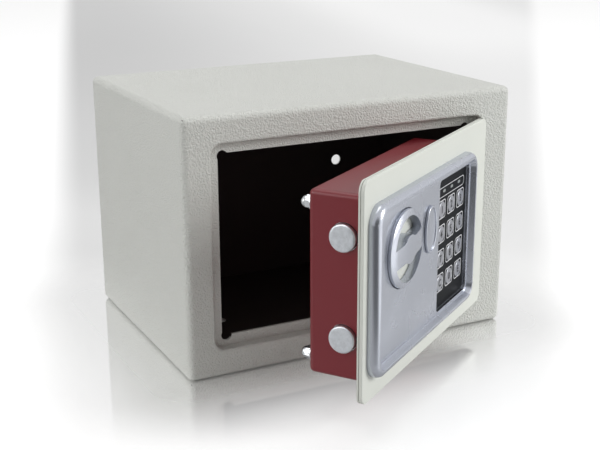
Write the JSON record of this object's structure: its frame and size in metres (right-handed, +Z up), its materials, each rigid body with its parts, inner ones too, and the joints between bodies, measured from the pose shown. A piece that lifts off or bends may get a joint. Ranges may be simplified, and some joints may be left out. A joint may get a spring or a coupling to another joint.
{
  "type": "electronic safe",
  "caption": "Small steel safe whose hinged door carries a keypad, a round turning knob with a bar, an oval key cover and round bolts on a lined lock box.",
  "frame": {"origin": "centre of the cabinet's base, on the floor", "axes": "+X to the right seen from the front, +Y to the back, +Z up; the door stands open towards -Y"},
  "size_m": [0.233, 0.2815, 0.165],
  "materials": {
    "body_paint": "hammered powder coat",
    "door_paint": "fine textured powder coat",
    "burgundy_paint": "satin powder coat",
    "zinc": "bright zinc plate",
    "bolt_steel": "turned and plated",
    "hinge_steel": "dark satin",
    "silver_plastic": "metallic painted",
    "overlay_black": "satin",
    "key_silver": "metallic painted",
    "lamp_clear": "clear diffused",
    "board_green": "solder mask",
    "brass": "machined",
    "copper": "enamelled winding",
    "black_plastic": "moulded",
    "cell_wrap": "plain sleeve",
    "contact_spring": "nickel plate",
    "wire_red": "insulation",
    "button_red": "moulded"
  },
  "bodies": {
    "cabinet": {"body_shell": "body_paint", "door_frame": "body_paint", "back_panel": "body_paint", "hinge_bracket_lower": "hinge_steel", "hinge_bracket_upper": "hinge_steel"},
    "door": {"door_front_plate": "door_paint", "door_back_plate": "door_paint", "door_box": "burgundy_paint", "hinge_arm_lower": "zinc", "hinge_arm_upper": "zinc", "hinge_pins": "zinc", "hinge_screws": "zinc", "box_studs": "zinc", "stud_washers": "zinc", "cap_nuts": "zinc", "fascia": "silver_plastic", "fascia_screws": "zinc", "keypad_overlay": "overlay_black", "status_lamps": "lamp_clear", "keypad_board": "board_green", "spindle_bush": "brass", "bolt_guide": "zinc", "carriage_posts": "zinc", "solenoid_frame": "zinc", "solenoid_coil": "copper", "lock_barrel": "bolt_steel", "lock_nut": "brass", "battery_tray": "black_plastic", "battery_cells": "cell_wrap", "battery_contacts": "contact_spring", "reset_switch": "black_plastic", "door_wiring": "wire_red"},
    "bolt_work": {"bolt_lower": "bolt_steel", "bolt_upper": "bolt_steel", "bolt_carriage": "zinc", "bolt_screws": "zinc"},
    "knob_train": {"knob": "silver_plastic", "knob_spindle": "zinc", "crank": "zinc"},
    "plunger": {"solenoid_plunger": "bolt_steel", "solenoid_spring": "contact_spring"},
    "lock": {"lock_plug": "brass", "lock_cam": "zinc"},
    "key_cover": {"key_cover": "silver_plastic"},
    "battery_lid": {"battery_lid": "burgundy_paint"},
    "reset_button": {"reset_button": "button_red"},
    "key_1": {"key_1": "key_silver"},
    "key_2": {"key_2": "key_silver"},
    "key_3": {"key_3": "key_silver"},
    "key_4": {"key_4": "key_silver"},
    "key_5": {"key_5": "key_silver"},
    "key_6": {"key_6": "key_silver"},
    "key_7": {"key_7": "key_silver"},
    "key_8": {"key_8": "key_silver"},
    "key_9": {"key_9": "key_silver"},
    "key_clear": {"key_clear": "key_silver"},
    "key_0": {"key_0": "key_silver"},
    "key_enter": {"key_enter": "key_silver"}
  },
  "joints": [
    {"name": "door_swing", "type": "hinge", "parent": "cabinet", "child": "door", "pos_m": [0.098, -0.0812, 0.0825], "axis": [0, 0, 1], "range_deg": [-35, 57]},
    {"name": "bolt_slide", "type": "slide", "parent": "door", "child": "bolt_work", "axis": [-0.8192, -0.5736, 0], "range_m": [0, 0.012]},
    {"name": "knob_turn", "type": "hinge", "parent": "door", "child": "knob_train", "pos_m": [-0.01979, -0.16831, 0.0971], "axis": [0.5736, -0.8192, 0], "range_deg": [0, 90]},
    {"name": "plunger_slide", "type": "slide", "parent": "door", "child": "plunger", "axis": [0, 0, -1], "range_m": [0, 0.004], "stiffness_N_per_m": 20, "springref_m": 0.006, "deforming": ["solenoid_spring"]},
    {"name": "key_turn", "type": "hinge", "parent": "door", "child": "lock", "pos_m": [0.01192, -0.14612, 0.0977], "axis": [0.5736, -0.8192, 0], "range_deg": [0, 90]},
    {"name": "key_cover_pull", "type": "slide", "parent": "door", "child": "key_cover", "axis": [0.5736, -0.8192, 0], "range_m": [0, 0.012]},
    {"name": "battery_lid_slide", "type": "slide", "parent": "door", "child": "battery_lid", "axis": [0, 0, 1], "range_m": [0, 0.012]},
    {"name": "reset_press", "type": "slide", "parent": "door", "child": "reset_button", "axis": [0.5736, -0.8192, 0], "range_m": [0, 0.0012], "stiffness_N_per_m": 100},
    {"name": "key_1_press", "type": "slide", "parent": "door", "child": "key_1", "axis": [-0.5736, 0.8192, 0], "range_m": [0, 0.0005], "stiffness_N_per_m": 150},
    {"name": "key_2_press", "type": "slide", "parent": "door", "child": "key_2", "axis": [-0.5736, 0.8192, 0], "range_m": [0, 0.0005], "stiffness_N_per_m": 150},
    {"name": "key_3_press", "type": "slide", "parent": "door", "child": "key_3", "axis": [-0.5736, 0.8192, 0], "range_m": [0, 0.0005], "stiffness_N_per_m": 150},
    {"name": "key_4_press", "type": "slide", "parent": "door", "child": "key_4", "axis": [-0.5736, 0.8192, 0], "range_m": [0, 0.0005], "stiffness_N_per_m": 150},
    {"name": "key_5_press", "type": "slide", "parent": "door", "child": "key_5", "axis": [-0.5736, 0.8192, 0], "range_m": [0, 0.0005], "stiffness_N_per_m": 150},
    {"name": "key_6_press", "type": "slide", "parent": "door", "child": "key_6", "axis": [-0.5736, 0.8192, 0], "range_m": [0, 0.0005], "stiffness_N_per_m": 150},
    {"name": "key_7_press", "type": "slide", "parent": "door", "child": "key_7", "axis": [-0.5736, 0.8192, 0], "range_m": [0, 0.0005], "stiffness_N_per_m": 150},
    {"name": "key_8_press", "type": "slide", "parent": "door", "child": "key_8", "axis": [-0.5736, 0.8192, 0], "range_m": [0, 0.0005], "stiffness_N_per_m": 150},
    {"name": "key_9_press", "type": "slide", "parent": "door", "child": "key_9", "axis": [-0.5736, 0.8192, 0], "range_m": [0, 0.0005], "stiffness_N_per_m": 150},
    {"name": "key_clear_press", "type": "slide", "parent": "door", "child": "key_clear", "axis": [-0.5736, 0.8192, 0], "range_m": [0, 0.0005], "stiffness_N_per_m": 150},
    {"name": "key_0_press", "type": "slide", "parent": "door", "child": "key_0", "axis": [-0.5736, 0.8192, 0], "range_m": [0, 0.0005], "stiffness_N_per_m": 150},
    {"name": "key_enter_press", "type": "slide", "parent": "door", "child": "key_enter", "axis": [-0.5736, 0.8192, 0], "range_m": [0, 0.0005], "stiffness_N_per_m": 150}
  ],
  "couplings": [
    {"joint": "knob_turn", "follows": "bolt_slide", "rad_per_m": 130.9}
  ]
}
